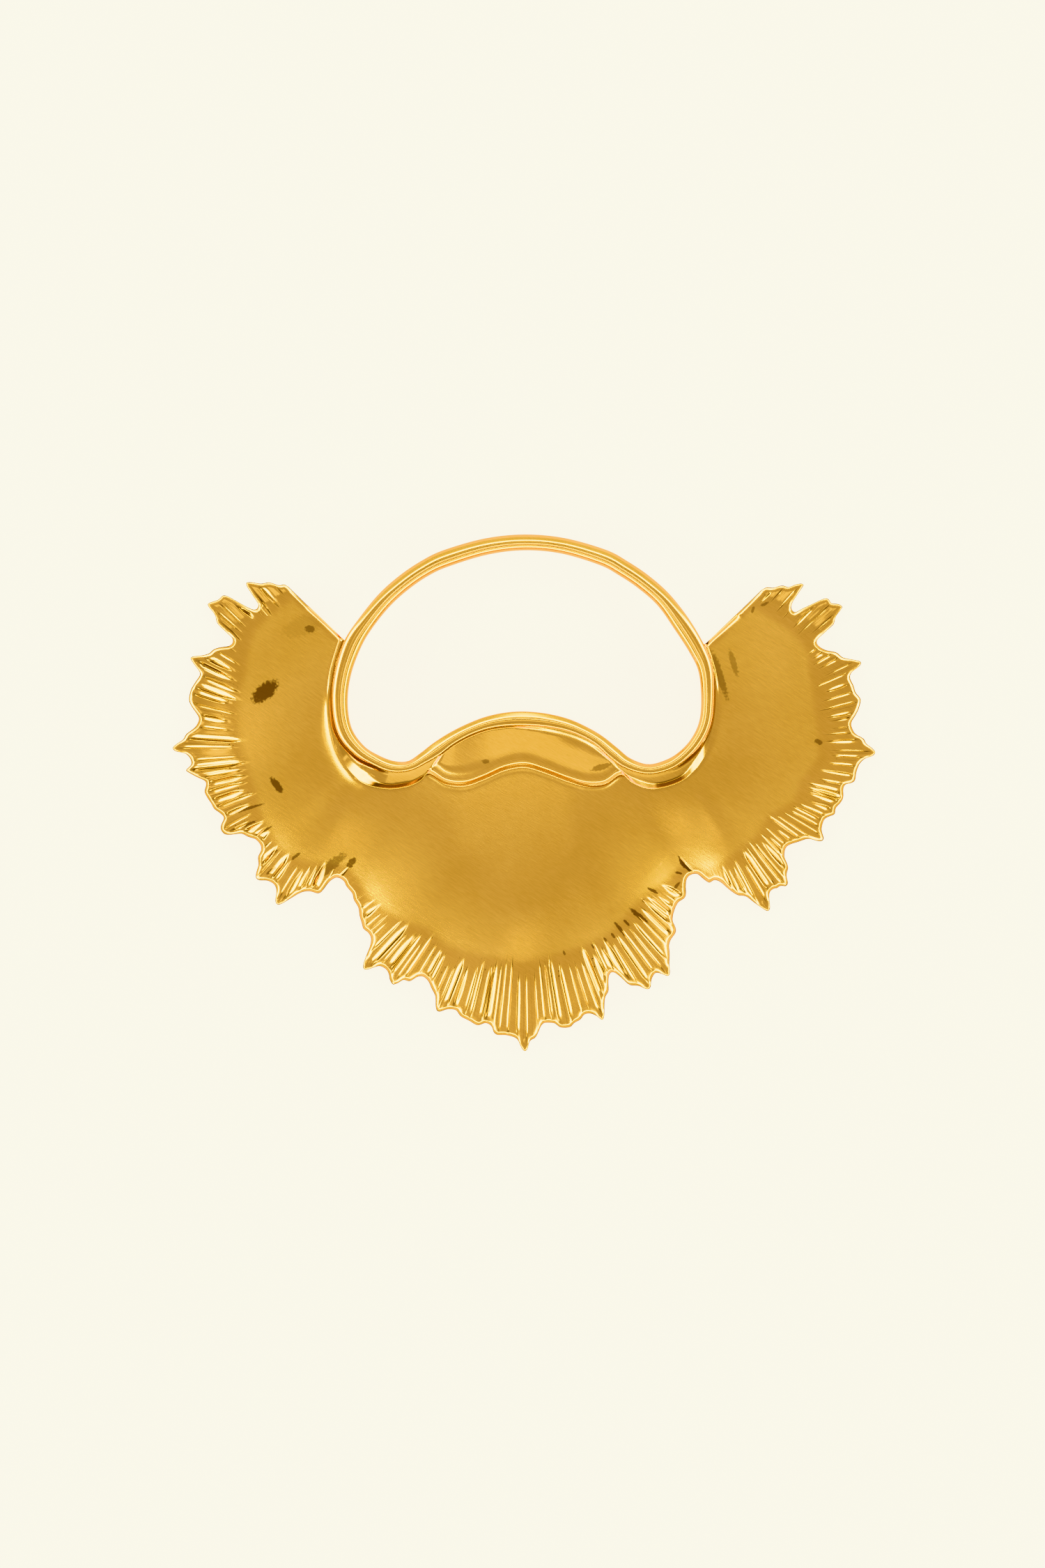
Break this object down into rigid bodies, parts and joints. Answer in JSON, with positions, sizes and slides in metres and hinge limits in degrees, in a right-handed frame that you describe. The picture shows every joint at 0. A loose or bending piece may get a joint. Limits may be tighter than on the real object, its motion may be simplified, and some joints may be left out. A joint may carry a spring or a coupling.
{
  "type": "sun brooch",
  "caption": "Cast brass brooch shaped as a rayed sun: fluted fans with pointed rims spread below and beside an open bean-shaped frame, with a pin in the hollow of the back.",
  "frame": {"origin": "middle of the bounding box's bottom face, on the surface that the brooch lies on, face up", "axes": "+X to the right and +Y to the top when the brooch is worn and seen from the front, +Z out of its face"},
  "size_m": [0.11, 0.0808, 0.0091],
  "materials": {
    "gilt_brass": "brushed satin field, polished flutes, frame and edge, slight tarnish",
    "pin_brass": "polished"
  },
  "bodies": {
    "root": {"sun_casting": "gilt_brass", "pin_finding": "pin_brass"}
  },
  "joints": []
}
